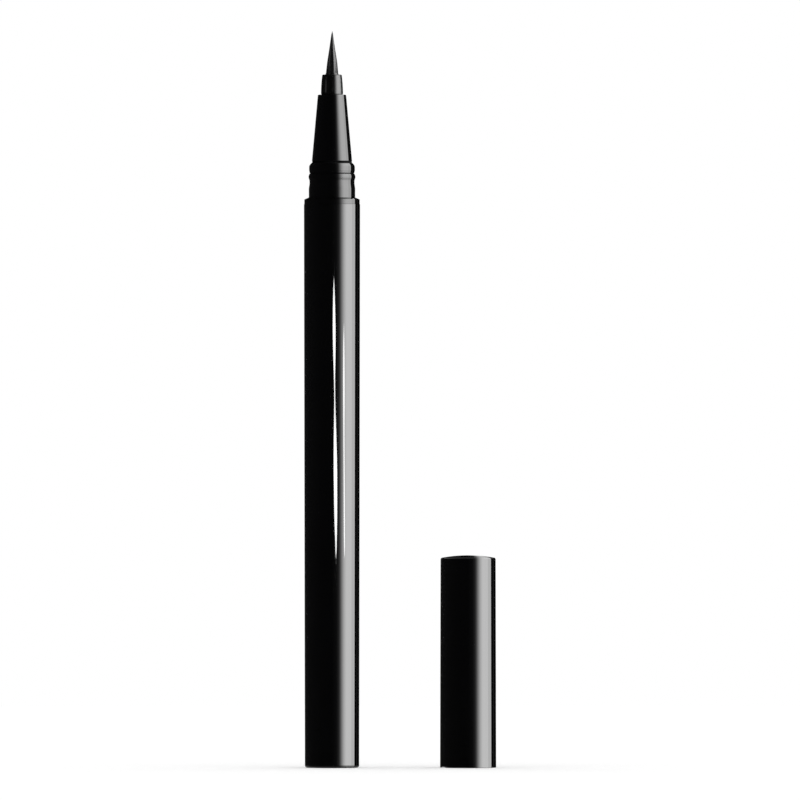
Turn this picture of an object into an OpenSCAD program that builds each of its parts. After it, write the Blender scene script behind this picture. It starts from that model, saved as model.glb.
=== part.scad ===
// Liquid eyeliner pen with its cap taken off, in millimetres.
// The pen stands on its tail at the origin with its axis along +Z.
// The cap stands on its open rim beside the pen, at +X.
// Inside are an ink tank with a mixing ball, a finned collector, a fibre relay core,
// a feed pipe and the brush. The cap holds a sealing inner cap.

/* [Barrel] */
// Length of the barrel sleeve, from the tail plug's flange to the nose's flange
barrel_len = 100.9; // [80:0.5:130]
// Outside diameter of the barrel at the nose, and of the cap at its rim
barrel_d = 10.1; // [9.8:0.05:12]
// How much the barrel's radius shrinks towards the tail
barrel_draft = 0.17; // [0:0.01:0.3]
// Wall of the barrel sleeve at the nose end
barrel_wall = 0.85; // [0.6:0.05:1.1]
// Small bevel on the barrel's two rims
barrel_bevel = 0.1; // [0.05:0.01:0.15]

/* [Tail plug] */
// Height of the flange that shows at the tail
tail_flange_h = 0.5; // [0.45:0.05:1.5]
// Radius of the flange's rounded edge
tail_edge_r = 0.35; // [0.1:0.05:0.4]
// Length of the plug's shank inside the barrel
tail_shank_len = 6; // [4:0.5:12]
// Wall of the hollow plugs
plug_wall = 0.9; // [0.6:0.1:1.4]
// Thickness of the closed end of the plugs
plug_floor = 1.2; // [0.8:0.1:2]
// How far the sealing ribs stand out of a plug's shank
rib_rise = 0.15; // [0.1:0.05:0.3]
// Height of one sealing rib
rib_h = 0.6; // [0.3:0.1:0.8]

/* [Ink tank] */
// Wall of the ink tank
tank_wall = 0.75; // [0.5:0.05:0.9]
// Sliding clearance between the tank and the barrel, on the radius
tank_gap = 0.05; // [0.02:0.01:0.1]
// Height of the tank plug's flange
tank_flange_h = 1; // [0.6:0.1:2]
// Length of the tank plug's shank
tank_shank_len = 6; // [4:0.5:10]
// Diameter of the steel mixing ball
ball_d = 3; // [2:0.1:4]
// Clearance under the ball at rest
ball_gap = 0.05; // [0.02:0.01:0.1]

/* [Nose] */
// How much smaller than the barrel the flange is that closes it, on the radius
flange_inset = 0.07; // [0:0.01:0.15]
// Height of the flange's straight edge
flange_h = 0.85; // [0.5:0.05:1.5]
// Rise of the shoulder from the flange to the neck
shoulder_rise = 0.35; // [0.1:0.05:0.4]
// How much smaller than the barrel the neck collar is that the cap slides on, on the radius
collar_inset = 0.88; // [0.7:0.01:1.1]
// Length of the neck collar
collar_h = 1.65; // [1.4:0.05:2.5]
// Rise of the slope from the collar to the snap groove
groove_slope_h = 0.8; // [0.4:0.05:1.2]
// Depth of the snap groove and the neck under the collar
groove_depth = 0.125; // [0.08:0.005:0.2]
// Height of the snap groove
groove_h = 0.6; // [0.4:0.05:1]
// Height of the snap ring's crest over the collar
ring_over = 0.045; // [0.02:0.005:0.06]
// Length of the snap ring
ring_h = 1.3; // [0.8:0.05:1.6]
// Height of the neck above the snap ring
neck_gap_h = 0.2; // [0.1:0.05:0.6]
// Depth of the bead under the collar
bead_inset = 0.055; // [0.02:0.005:0.07]
// Height of the bead's straight side
bead_h = 0.9; // [0.6:0.05:1.5]
// Radius of the bead's rounded top
bead_round_r = 0.75; // [0.5:0.05:0.9]
// How far the rounded top turns before it dips to the cone, in degrees
bead_turn = 52; // [40:1:60]
// Height of the cone's foot above the bead's straight side
cone_rise = 1.05; // [0.95:0.05:1.3]
// How far the cone's foot lies inside the bead, on the radius
cone_inset = 0.5; // [0.45:0.01:0.6]
// Depth of the fine groove at the cone's foot
foot_groove = 0.1; // [0.05:0.01:0.12]
// Diameter of the cone at its front face
cone_tip_d = 5.08; // [4.8:0.02:5.8]
// Length of the cone
cone_len = 12; // [10:0.1:15]
// Radius of the cone's front edge
cone_edge_r = 0.15; // [0.05:0.01:0.2]
// Length of the skirt that plugs into the tank
skirt_len = 8; // [6:0.5:10]
// Wall of the skirt
skirt_wall = 0.5; // [0.4:0.05:0.7]
// Wall of the neck at the groove
neck_wall = 1.25; // [0.8:0.05:1.4]
// Least step from the skirt's bore in to the neck's, on the radius
bore_step = 0.1; // [0.05:0.05:0.3]
// Width of the ledge inside the cone that the ferrule's flange seats on
seat_ledge = 0.35; // [0.2:0.01:0.45]

/* [Brush tip] */
// Diameter of the ferrule where it leaves the nose
ferrule_d = 3.96; // [3.7:0.02:4.2]
// How much the ferrule's radius shrinks to its front face
ferrule_drop = 0.23; // [0.1:0.01:0.3]
// Length of the ferrule outside the nose
ferrule_len = 3.62; // [2.5:0.02:5]
// Radius of the ferrule's front edge
ferrule_edge_r = 0.15; // [0.05:0.01:0.2]
// Length of the ferrule inside the nose, above its flange
ferrule_shank_len = 5.6; // [4:0.1:7]
// Height of the ferrule's inner flange
ferrule_flange_h = 1; // [0.6:0.1:1.5]
// Diameter of the brush at its root
brush_d = 2.28; // [2:0.02:2.4]
// Length of the brush outside the ferrule
brush_len = 8; // [5:0.1:11]
// Depth of the strands' feet below the ferrule's face
brush_sink = 0.3; // [0.1:0.05:0.5]
// Strands across the brush, which has this number squared in all
strand_rows = 18; // [18:1:20]
// Share of its cell that a strand fills
strand_fill = 0.86; // [0.7:0.01:0.9]
// Thickness of the fused slice that the strands stand on
slice_h = 0.7; // [0.4:0.05:1]
// Width of the flange round the brush's fused root
root_ledge = 0.42; // [0.3:0.01:0.5]
// Height of the root's flange
root_flange_h = 1.2; // [0.8:0.1:1.6]
// Clearance between the tip's nested pieces, on the radius and on the length
tip_gap = 0.03; // [0.01:0.01:0.05]

/* [Ink feed] */
// Diameter of the fibre relay core
core_d = 1.9; // [1.5:0.05:2.1]
// Length of the relay core that reaches into the tank
core_reach = 2; // [1:0.5:5]
// Diameter of the feed pipe
pipe_d = 0.8; // [0.6:0.05:1]
// Wall of the feed pipe
pipe_wall = 0.15; // [0.1:0.01:0.2]
// Length of the feed pipe inside the relay core
pipe_socket_len = 2; // [1:0.1:4]
// Length of the feed pipe inside the brush, above the root's flange
pipe_reach = 4.8; // [3:0.1:5.6]
// Length of the collector inside the tank
collector_len = 32; // [20:1:40]
// Thickness of the collector's flanges
collector_flange_h = 1.6; // [1:0.1:3]
// Thickness of one collector fin
fin_t = 0.4; // [0.3:0.05:0.6]
// Spacing of the collector fins
fin_pitch = 0.95; // [0.8:0.05:1.5]
// Clearance between the fins and the tank, on the radius
fin_gap = 0.1; // [0.05:0.01:0.2]
// Wall of the collector's hub around the relay core
hub_wall = 0.6; // [0.4:0.05:0.8]
// Width of the ink slit that crosses the fins
slit_w = 0.35; // [0.2:0.05:0.5]
// Width of the air notch on the other side of the fins
notch_w = 1.4; // [0.8:0.1:2]
// Length of the collector's front boss inside the nose
boss_len = 6; // [4:0.5:7]
// Height of the wick guide's flange
guide_flange_h = 1.2; // [0.8:0.1:2]
// Length of the wick guide's spigot inside the ferrule
guide_spigot_h = 0.5; // [0.3:0.1:1]

/* [Cap] */
// Distance from the pen's axis to the cap's axis
cap_x = 24.5; // [16:0.5:40]
// How much the cap's radius shrinks towards its closed end
cap_draft = 0.09; // [0:0.01:0.2]
// Sliding clearance between the cap's mouth and the neck collar, on the radius
cap_gap = 0.08; // [0.07:0.01:0.12]
// Clearance between the cap's snap rib and the bottom of the neck's groove
snap_gap = 0.075; // [0.03:0.005:0.08]
// Thickness of the cap's closed end in the middle
cap_end_t = 1.4; // [1.2:0.1:2]
// Radius of the crown on the closed end
crown_r = 26; // [18:1:60]
// Radius of the closed end's rounded edge
cap_edge_r = 0.35; // [0.1:0.05:0.4]
// Small bevel on the cap's rim
rim_bevel = 0.1; // [0.02:0.01:0.15]
// Height of the inner cap's lip above the cap's rim
lip_z = 11; // [9:0.5:14]
// Clearance between the inner cap's lip and the cone when the cap is on, on the radius
lip_gap = 0.06; // [0.02:0.01:0.1]
// Wall of the inner cap
inner_wall = 0.65; // [0.4:0.05:0.7]
// Thickness of the inner cap's closed end
inner_end_t = 1; // [0.6:0.1:1.5]
// Room above the brush inside the inner cap
tip_room = 5.6; // [2:0.1:10]
// Number of rings that hold the inner cap in the cap
inner_rings = 4; // [2:1:6]
// Height of one of those rings
inner_ring_h = 0.8; // [0.5:0.1:1.5]

/* [Hidden] */
$fn = 96;

// Heights along the pen, from the tail up
barrel_z = tail_flange_h;
barrel_top = barrel_z + barrel_len;
tank_plug_z = tail_flange_h + tail_shank_len;
tank_z = tank_plug_z + tank_flange_h;
tank_floor_z = tank_z + tank_shank_len;
skirt_z = barrel_top - skirt_len;
collector_z = skirt_z - collector_len;
boss_top = skirt_z + boss_len;
core_z = collector_z - core_reach;
flange_top = barrel_top + flange_h;
collar_z = flange_top + shoulder_rise;
collar_top = collar_z + collar_h;
groove_z = collar_top + groove_slope_h;
ring_z = groove_z + groove_h;
neck_z = ring_z + ring_h;
bead_z = neck_z + neck_gap_h;
bead_top = bead_z + bead_h;
cone_z = bead_top + cone_rise;
cone_top = cone_z + cone_len;
ferrule_top = cone_top + ferrule_len;
ferrule_seat = cone_top - ferrule_shank_len;
ferrule_z = ferrule_seat - ferrule_flange_h;
root_z = ferrule_z + guide_spigot_h + tip_gap;
root_top = root_z + root_flange_h;
slice_top = ferrule_top - brush_sink;
slice_z = slice_top - slice_h;
tip_top = ferrule_top + brush_len;

// Diameters along the outside
tail_d = barrel_d - 2 * barrel_draft;
flange_d = barrel_d - 2 * flange_inset;
collar_d = barrel_d - 2 * collar_inset;
groove_d = collar_d - 2 * groove_depth;
ring_d = collar_d + 2 * ring_over;
bead_d = collar_d - 2 * bead_inset;
cone_base_d = bead_d - 2 * cone_inset;
ferrule_tip_d = ferrule_d - 2 * ferrule_drop;
cap_end_d = barrel_d - 2 * cap_draft;

// Diameters of the bores, and of what fits in them
barrel_bore_d = barrel_d - 2 * barrel_wall;
tank_d = barrel_bore_d - 2 * tank_gap;
tank_bore_d = tank_d - 2 * tank_wall;
skirt_bore_d = tank_bore_d - 2 * skirt_wall;
neck_bore_d = min(groove_d - 2 * neck_wall, skirt_bore_d - 2 * bore_step);
ferrule_hole_d = ferrule_d + 2 * tip_gap;
cone_bore_d = ferrule_hole_d + 2 * seat_ledge;
brush_hole_d = brush_d + 2 * tip_gap;
root_flange_d = brush_d + 2 * root_ledge;
root_hole_d = root_flange_d + 2 * tip_gap;
core_hole_d = core_d + 2 * tip_gap;
cap_bore_d = collar_d + 2 * cap_gap;

// The cap's heights, from its rim up. When it is on, its bevelled rim rests on the sloped shoulder.
seat_share = (flange_d - cap_bore_d - 2 * rim_bevel) / (flange_d - collar_d);
seat_z = flange_top + shoulder_rise * seat_share;
cap_len = tip_top - seat_z + tip_room + inner_end_t + cap_end_t;
inner_top = cap_len - cap_end_t;
snap_z = groove_z + groove_h / 2 - seat_z;
snap_rise = cap_gap + groove_depth - snap_gap;
lip_cone_d = cone_base_d - (cone_base_d - cone_tip_d) * (seat_z + lip_z - cone_z) / cone_len;
inner_bore_d = lip_cone_d + 2 * lip_gap;
inner_d = inner_bore_d + 2 * inner_wall;

// The brush's radius at shares of its length, as shares of its radius at the root
BRUSH_OUTLINE = [[0, 1], [0.3, 0.77], [0.6, 0.42], [1, 0]];

// How much a strand thins from the first of those shares to the second, beside the brush's own taper
STRAND_THIN = 0.9;

// Where the sealing ribs lie, as shares of a plug's shank
RIB_SHARES = [0.25, 0.6];

// Points on a circle's arc in an outline, from angle a0 to a1
function arc(centre, r, a0, a1, steps = 8) =
    [for (i = [0:steps])
        let (a = a0 + (a1 - a0) * i / steps)
        [centre[0] + r * cos(a), centre[1] + r * sin(a)]];

// A solid turned from an outline of [radius, height] points
module turned(outline) {
    rotate_extrude() polygon(outline);
}

// A flat ring between two diameters
module ring(outer_d, inner_d, h) {
    turned([[inner_d / 2, 0], [outer_d / 2, 0], [outer_d / 2, h], [inner_d / 2, h]]);
}

// The outline of a plug's shank with two sealing ribs, from its foot up to its bevelled top
function ribbed_side(bore_d, z, len) =
    let (r = bore_d / 2,
         body = r - rib_rise,
         rib = [[body, 0], [r, rib_rise], [r, rib_h], [body, rib_h + rib_rise]])
    concat([[body, z]],
           [for (share = RIB_SHARES) for (p = rib) [p[0], p[1] + z + len * share]],
           [[body, z + len - rib_rise], [body - rib_rise, z + len]]);

module barrel() {
    bore = barrel_bore_d / 2;
    tail = tail_d / 2;
    front = barrel_d / 2;
    color([0.02, 0.02, 0.02])
        turned([[bore, barrel_z],
                [tail - barrel_bevel, barrel_z],
                [tail, barrel_z + barrel_bevel],
                [front, barrel_top - barrel_bevel],
                [front - barrel_bevel, barrel_top],
                [bore, barrel_top]]);
}

module tail_plug() {
    flange = tail_d / 2;
    hollow = barrel_bore_d / 2 - rib_rise - plug_wall;
    floor_z = tail_flange_h + plug_floor;
    color([0.02, 0.02, 0.02])
        turned(concat([[0, 0]],
                      arc([flange - tail_edge_r, tail_edge_r], tail_edge_r, -90, 0, 6),
                      [[flange, tail_flange_h]],
                      ribbed_side(barrel_bore_d, tail_flange_h, tail_shank_len),
                      [[hollow, tail_flange_h + tail_shank_len], [hollow, floor_z], [0, floor_z]]));
}

module ink_tank() {
    color([0.85, 0.85, 0.83])
        translate([0, 0, tank_z])
            ring(tank_d, tank_bore_d, barrel_top - tank_z);
}

module tank_plug() {
    flange = tank_d / 2;
    hollow = tank_bore_d / 2 - rib_rise - plug_wall;
    ceiling_z = tank_floor_z - plug_floor;
    color([0.85, 0.85, 0.83])
        turned(concat([[hollow, tank_plug_z], [flange, tank_plug_z], [flange, tank_z]],
                      ribbed_side(tank_bore_d, tank_z, tank_shank_len),
                      [[0, tank_floor_z], [0, ceiling_z], [hollow, ceiling_z]]));
}

module mixing_ball() {
    color([0.7, 0.7, 0.72])
        translate([0, 0, tank_floor_z + ball_gap + ball_d / 2])
            sphere(d = ball_d);
}

module collector() {
    hub_d = core_hole_d + 2 * hub_wall;
    fins_z = collector_z + collector_flange_h;
    fins_top = skirt_z - collector_flange_h;
    fin_count = floor((fins_top - fins_z) / fin_pitch) - 1;
    margin = 1;
    color([0.12, 0.12, 0.12])
        difference() {
            union() {
                translate([0, 0, collector_z])
                    ring(hub_d, core_hole_d, collector_len);
                for (z = [collector_z, fins_top])
                    translate([0, 0, z])
                        ring(tank_bore_d, core_hole_d, collector_flange_h);
                for (i = [1:fin_count])
                    translate([0, 0, fins_z + i * fin_pitch - fin_t / 2])
                        ring(tank_bore_d - 2 * fin_gap, core_hole_d, fin_t);
                translate([0, 0, skirt_z])
                    ring(skirt_bore_d - 2 * tip_gap, core_hole_d, boss_len);
            }
            // The ink slit on one side, from the tank to the front flange
            translate([0, -slit_w / 2, collector_z - margin])
                cube([tank_bore_d, slit_w, fins_top - collector_z + margin]);
            // The air notch on the other side
            translate([-tank_bore_d, -notch_w / 2, fins_z])
                cube([tank_bore_d - hub_d / 2, notch_w, fins_top - fins_z]);
        }
}

module relay_core() {
    core_top = root_z - tip_gap;
    socket_z = root_z - pipe_socket_len;
    color([0.88, 0.86, 0.8])
        turned([[0, core_z],
                [core_d / 2, core_z],
                [core_d / 2, core_top],
                [pipe_d / 2, core_top],
                [pipe_d / 2, socket_z],
                [0, socket_z]]);
}

module wick_guide() {
    flange = neck_bore_d / 2 - tip_gap;
    stem = min(cone_bore_d, neck_bore_d) / 2 - tip_gap;
    spigot_top = root_z - tip_gap;
    color([0.9, 0.9, 0.88])
        turned([[core_hole_d / 2, boss_top],
                [flange, boss_top],
                [flange, boss_top + guide_flange_h],
                [stem, boss_top + guide_flange_h],
                [stem, ferrule_z],
                [root_flange_d / 2, ferrule_z],
                [root_flange_d / 2, spigot_top],
                [core_hole_d / 2, spigot_top]]);
}

module feed_pipe() {
    color([0.75, 0.75, 0.77])
        translate([0, 0, root_z - pipe_socket_len])
            ring(pipe_d, pipe_d - 2 * pipe_wall, pipe_socket_len + root_flange_h + pipe_reach);
}

// The outside of the nose, from its flange up to its front face
function nose_side() =
    let (rise = (ring_d - groove_d) / 2,
         ring_r = (pow(ring_h / 2, 2) + pow(rise, 2)) / (2 * rise),
         ring_a = asin(ring_h / 2 / ring_r))
    concat([[flange_d / 2, barrel_top],
            [flange_d / 2, flange_top],
            [collar_d / 2, collar_z],
            [collar_d / 2, collar_top],
            [groove_d / 2, groove_z]],
           arc([ring_d / 2 - ring_r, ring_z + ring_h / 2], ring_r, -ring_a, ring_a),
           [[groove_d / 2, bead_z],
            [bead_d / 2, bead_z + groove_depth - bead_inset]],
           arc([bead_d / 2 - bead_round_r, bead_top], bead_round_r, 0, bead_turn, 6),
           [[cone_base_d / 2 - foot_groove, cone_z - foot_groove],
            [cone_base_d / 2, cone_z]],
           arc([cone_tip_d / 2 - cone_edge_r, cone_top - cone_edge_r], cone_edge_r, 5, 90, 4));

module nose() {
    skirt = tank_bore_d / 2;
    color([0.03, 0.03, 0.03])
        turned(concat([[skirt_bore_d / 2, skirt_z],
                       [skirt - rib_rise, skirt_z],
                       [skirt, skirt_z + rib_rise],
                       [skirt, barrel_top]],
                      nose_side(),
                      [[ferrule_hole_d / 2, cone_top],
                       [ferrule_hole_d / 2, ferrule_seat],
                       [cone_bore_d / 2, ferrule_seat],
                       [cone_bore_d / 2, bead_top],
                       [neck_bore_d / 2, bead_top],
                       [neck_bore_d / 2, barrel_top],
                       [skirt_bore_d / 2, barrel_top - (skirt_bore_d - neck_bore_d) / 2]]));
}

// The outside of the ferrule, which narrows to its front along one arc
function ferrule_side() =
    let (side_r = (pow(ferrule_len, 2) + pow(ferrule_drop, 2)) / (2 * ferrule_drop),
         end_a = asin((ferrule_len - ferrule_edge_r) / side_r),
         edge_x = ferrule_tip_d / 2 - ferrule_edge_r)
    concat(arc([ferrule_d / 2 - side_r, cone_top], side_r, 0, end_a, 6),
           arc([edge_x, ferrule_top - ferrule_edge_r], ferrule_edge_r, 15, 90, 4));

module tip_ferrule() {
    flange = cone_bore_d / 2 - tip_gap;
    color([0.03, 0.03, 0.03])
        turned(concat([[root_hole_d / 2, ferrule_z],
                       [flange, ferrule_z],
                       [flange, ferrule_seat],
                       [ferrule_d / 2, ferrule_seat]],
                      ferrule_side(),
                      [[brush_hole_d / 2, ferrule_top],
                       [brush_hole_d / 2, root_top],
                       [root_hole_d / 2, root_top]]));
}

module brush_root() {
    pipe_end = root_top + pipe_reach;
    color([0.05, 0.05, 0.05])
        turned([[pipe_d / 2, root_z],
                [root_flange_d / 2, root_z],
                [root_flange_d / 2, root_top],
                [brush_d / 2, root_top],
                [brush_d / 2, slice_z],
                [0, slice_z],
                [0, pipe_end],
                [pipe_d / 2, pipe_end]]);
}

// A point of a square of cells carried onto a round brush: u and v run from -1 to 1
function on_disc(u, v) =
    u == 0 && v == 0 ? [0, 0]
    : abs(u) > abs(v) ? let (a = 45 * v / u) [u * cos(a), u * sin(a)]
    : let (a = 90 - 45 * u / v) [v * cos(a), v * sin(a)];

// Share of the brush's length at which a strand ends: one strand in seven reaches the tip
function strand_end(i, j) = 0.985 - 0.06 * ((3 * i + 5 * j) % 7);

// The strands are one solid with the fused slice that they stand on. Each cell of the slice's
// top carries one four-sided strand. It stays inside its own cell, which shrinks towards the
// axis as the brush does, so that no strand crosses another.
module brush_bristles() {
    n = strand_rows;
    side = n + 1;
    sides = 4;
    per_strand = 2 * sides + 1;
    rise = tip_top - slice_top;
    grid = [for (j = [0:n]) for (i = [0:n]) on_disc(2 * i / n - 1, 2 * j / n - 1) * brush_d / 2];
    rim = concat([for (i = [0:n - 1]) i],
                 [for (j = [0:n - 1]) n + side * j],
                 [for (i = [0:n - 1]) side * n + n - i],
                 [for (j = [0:n - 1]) side * (n - j)]);
    cells = [for (j = [0:n - 1]) for (i = [0:n - 1])
                [for (k = [0, 1, 1 + side, side]) i + side * j + k]];
    function centre(cell) = (grid[cell[0]] + grid[cell[1]] + grid[cell[2]] + grid[cell[3]]) / sides;
    function at(p, t) = let (share = lookup(t, BRUSH_OUTLINE))
        [p[0] * share, p[1] * share, slice_top + rise * t];
    function strand_ring(cell, t, fill) =
        [for (k = cell) at(centre(cell) + (grid[k] - centre(cell)) * fill, t)];
    foot_points = [for (k = rim) [grid[k][0], grid[k][1], slice_z]];
    strand_points = [for (j = [0:n - 1]) for (i = [0:n - 1])
                        let (cell = cells[i + n * j])
                        each concat(strand_ring(cell, BRUSH_OUTLINE[1][0], strand_fill),
                                    strand_ring(cell, BRUSH_OUTLINE[2][0], strand_fill * STRAND_THIN),
                                    [at(centre(cell), strand_end(i, j))])];
    foot = len(grid);
    first = foot + len(foot_points);
    m = len(rim);
    // Two triangles between edge a-b and edge d-c above it
    function quad(a, b, c, d) = [[d, b, a], [d, c, b]];
    faces = concat(
        [for (k = [1:m - 2]) [foot, foot + k, foot + k + 1]],
        [for (k = [0:m - 1]) let (next = (k + 1) % m)
            each quad(foot + k, foot + next, rim[next], rim[k])],
        [for (s = [0:n * n - 1]) for (k = [0:sides - 1])
            let (next = (k + 1) % sides,
                 cell = cells[s],
                 low = first + per_strand * s,
                 high = low + sides,
                 tip = high + sides)
            each concat(quad(cell[k], cell[next], low + next, low + k),
                        quad(low + k, low + next, high + next, high + k),
                        [[tip, high + next, high + k]])]);
    color([0.04, 0.04, 0.04])
        polyhedron(points = concat([for (p = grid) [p[0], p[1], slice_top]], foot_points, strand_points),
                   faces = faces);
}

module cap_shell() {
    rim = barrel_d / 2;
    bore = cap_bore_d / 2;
    crown_end = cap_end_d / 2 - cap_edge_r;
    crown_drop = crown_r - sqrt(pow(crown_r, 2) - pow(crown_end, 2));
    crown_a = asin(crown_end / crown_r);
    edge_z = cap_len - crown_drop - cap_edge_r;
    snap_half_h = groove_h / 2;
    color([0.02, 0.02, 0.02])
        translate([cap_x, 0, 0])
            turned(concat([[bore + rim_bevel, 0],
                           [rim - rim_bevel, 0],
                           [rim, rim_bevel]],
                          arc([crown_end, edge_z], cap_edge_r, 0, 80, 6),
                          arc([0, cap_len - crown_r], crown_r, 90 - crown_a, 90, 6),
                          [[0, inner_top],
                           [bore, inner_top],
                           [bore, snap_z + snap_half_h],
                           [bore - snap_rise, snap_z],
                           [bore, snap_z - snap_half_h],
                           [bore, rim_bevel]]));
}

module inner_cap() {
    len = inner_top - lip_z;
    step = (len - inner_ring_h) / (inner_rings - 1);
    color([0.08, 0.08, 0.08])
        translate([cap_x, 0, lip_z])
            union() {
                ring(inner_d, inner_bore_d, len - inner_end_t);
                translate([0, 0, len - inner_end_t])
                    cylinder(d = inner_d, h = inner_end_t);
                for (i = [0:inner_rings - 1])
                    translate([0, 0, i * step])
                        ring(cap_bore_d, inner_d - inner_wall, inner_ring_h);
            }
}

barrel();
tail_plug();
ink_tank();
tank_plug();
mixing_ball();
collector();
relay_core();
wick_guide();
feed_pipe();
nose();
tip_ferrule();
brush_root();
brush_bristles();
cap_shell();
inner_cap();
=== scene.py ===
import math
import random
from collections import namedtuple

import bpy
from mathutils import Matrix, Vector


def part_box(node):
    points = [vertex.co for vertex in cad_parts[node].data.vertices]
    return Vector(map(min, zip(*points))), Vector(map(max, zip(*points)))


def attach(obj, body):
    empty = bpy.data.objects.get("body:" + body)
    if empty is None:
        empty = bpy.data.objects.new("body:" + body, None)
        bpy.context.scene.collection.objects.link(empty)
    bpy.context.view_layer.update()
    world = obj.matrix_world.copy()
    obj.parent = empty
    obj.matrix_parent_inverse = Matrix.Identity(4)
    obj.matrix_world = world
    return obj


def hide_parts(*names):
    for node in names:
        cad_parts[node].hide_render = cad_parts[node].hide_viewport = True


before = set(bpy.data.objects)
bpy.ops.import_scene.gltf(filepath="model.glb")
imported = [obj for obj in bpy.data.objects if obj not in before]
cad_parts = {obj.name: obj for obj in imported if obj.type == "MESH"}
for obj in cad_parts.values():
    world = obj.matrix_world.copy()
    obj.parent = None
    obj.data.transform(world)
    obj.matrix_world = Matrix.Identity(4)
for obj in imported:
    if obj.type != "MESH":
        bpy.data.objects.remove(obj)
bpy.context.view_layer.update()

# Looks of a liquid eyeliner pen and its cap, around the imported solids. Outlines are written as
# (radius, height, corner round) in millimetres and become metres when a mesh is made.
MM = 0.001
TURN_STEPS = 256
CORNER_STEPS = 6
SUPPORT_GAP = 0.1
WALL_STEP = 5.0
ON_AXIS = 1e-9
SHARP_ANGLE = math.radians(32)


def corner(a, b, c, radius):
    """Points that round the corner at b between a and c, or b alone where nothing is rounded."""
    if radius <= 0:
        return [b]
    to_a = (Vector(a) - Vector(b)).normalized()
    to_c = (Vector(c) - Vector(b)).normalized()
    half = to_a.angle(to_c) / 2
    reach = radius / math.tan(half)
    centre = Vector(b) + (to_a + to_c).normalized() * (radius / math.sin(half))
    start = Vector(b) + to_a * reach - centre
    end = Vector(b) + to_c * reach - centre
    turn = math.atan2(start.x * end.y - start.y * end.x, start.dot(end))
    points = []
    for i in range(CORNER_STEPS + 1):
        angle = turn * i / CORNER_STEPS
        x = start.x * math.cos(angle) - start.y * math.sin(angle)
        y = start.x * math.sin(angle) + start.y * math.cos(angle)
        points.append((centre.x + x, centre.y + y))
    return points


def rounded(outline, closed):
    """An outline with its corners rounded, as (radius, height) pairs."""
    flat = [(p[0], p[1]) for p in outline]
    count = len(outline)
    points = []
    for i, p in enumerate(outline):
        inside = closed or 0 < i < count - 1
        radius = p[2] if inside and len(p) > 2 else 0
        points += corner(flat[i - 1], flat[i], flat[(i + 1) % count], radius)
    return points


def supported(points, closed):
    """Long walls get rings near both ends and along them, so that their shading stays flat."""
    last = len(points) if closed else len(points) - 1
    result = []
    for i in range(last):
        a = Vector(points[i])
        b = Vector(points[(i + 1) % len(points)])
        length = (b - a).length
        result.append(points[i])
        if length < 4 * SUPPORT_GAP:
            continue
        inner = length - 2 * SUPPORT_GAP
        steps = max(1, math.ceil(inner / WALL_STEP))
        for k in range(steps + 1):
            p = a.lerp(b, (SUPPORT_GAP + inner * k / steps) / length)
            result.append((p.x, p.y))
    if not closed:
        result.append(points[-1])
    return result


def arc(centre, radius, start, end, steps):
    """Points on a circle's arc, with angles in degrees from the outward direction."""
    points = []
    for i in range(steps + 1):
        angle = math.radians(start + (end - start) * i / steps)
        points.append((centre[0] + radius * math.cos(angle), centre[1] + radius * math.sin(angle)))
    return points


def swell(low, high, root_r, crest_r, turns, steps):
    """A smooth wave from root_r out to crest_r, and back to root_r where turns is 1."""
    points = []
    for i in range(steps + 1):
        t = i / steps
        share = (1 - math.cos(2 * math.pi * t * turns)) / 2
        points.append((root_r + (crest_r - root_r) * share, low + (high - low) * t))
    return points


def around(azimuth, radius, height):
    """A point at an azimuth in degrees."""
    angle = math.radians(azimuth)
    return radius * math.sin(angle), -radius * math.cos(angle), height


def rise(distance, elevation):
    """The height of an elevation in degrees at a distance."""
    return distance * math.tan(math.radians(elevation))


def mesh_object(name, verts, faces, material):
    """A smooth-shaded object from points in millimetres, with its sharp edges kept."""
    mesh = bpy.data.meshes.new(name)
    mesh.from_pydata([(x * MM, y * MM, z * MM) for x, y, z in verts], [], faces)
    mesh.validate()
    mesh.shade_smooth()
    mesh.set_sharp_from_angle(angle=SHARP_ANGLE)
    mesh.materials.append(material)
    obj = bpy.data.objects.new(name, mesh)
    bpy.context.scene.collection.objects.link(obj)
    return obj


def turned(name, outline, material, axis_x=0.0):
    """A solid turned from an outline about a vertical axis. An outline that starts and ends on the
    axis is open there, and any other outline is closed."""
    closed = outline[0][0] > 0
    points = supported(rounded(outline, closed), closed)
    verts = []
    rings = []
    for r, z in points:
        if r < ON_AXIS:
            rings.append([len(verts)] * TURN_STEPS)
            verts.append((axis_x, 0.0, z))
            continue
        rings.append(list(range(len(verts), len(verts) + TURN_STEPS)))
        for k in range(TURN_STEPS):
            angle = 2 * math.pi * k / TURN_STEPS
            verts.append((axis_x + r * math.cos(angle), r * math.sin(angle), z))
    pairs = list(zip(rings, rings[1:] + rings[:1])) if closed else list(zip(rings, rings[1:]))
    faces = []
    for low, high in pairs:
        for k in range(TURN_STEPS):
            n = (k + 1) % TURN_STEPS
            quad = [low[k], low[n], high[n], high[k]]
            faces.append([v for i, v in enumerate(quad) if v not in quad[:i]])
    return mesh_object(name, verts, faces, material)


def finish_piece(obj, body, slot, *nodes, mirrored=False):
    """The piece rides on its body and stands for its nodes.
    slot, the name of its finish, is not used. Only a mirrored piece shows in the gloss of its
    neighbours: the pen and its cap don't mirror each other, as if each stood alone in the studio."""
    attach(obj, body)
    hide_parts(*nodes)
    obj.visible_glossy = mirrored


# Node helpers for the materials, the lamps' panels and the world
def new_material(name):
    material = bpy.data.materials.new(name)
    material.use_nodes = True
    tree = material.node_tree
    return material, tree, tree.nodes["Principled BSDF"]


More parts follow.
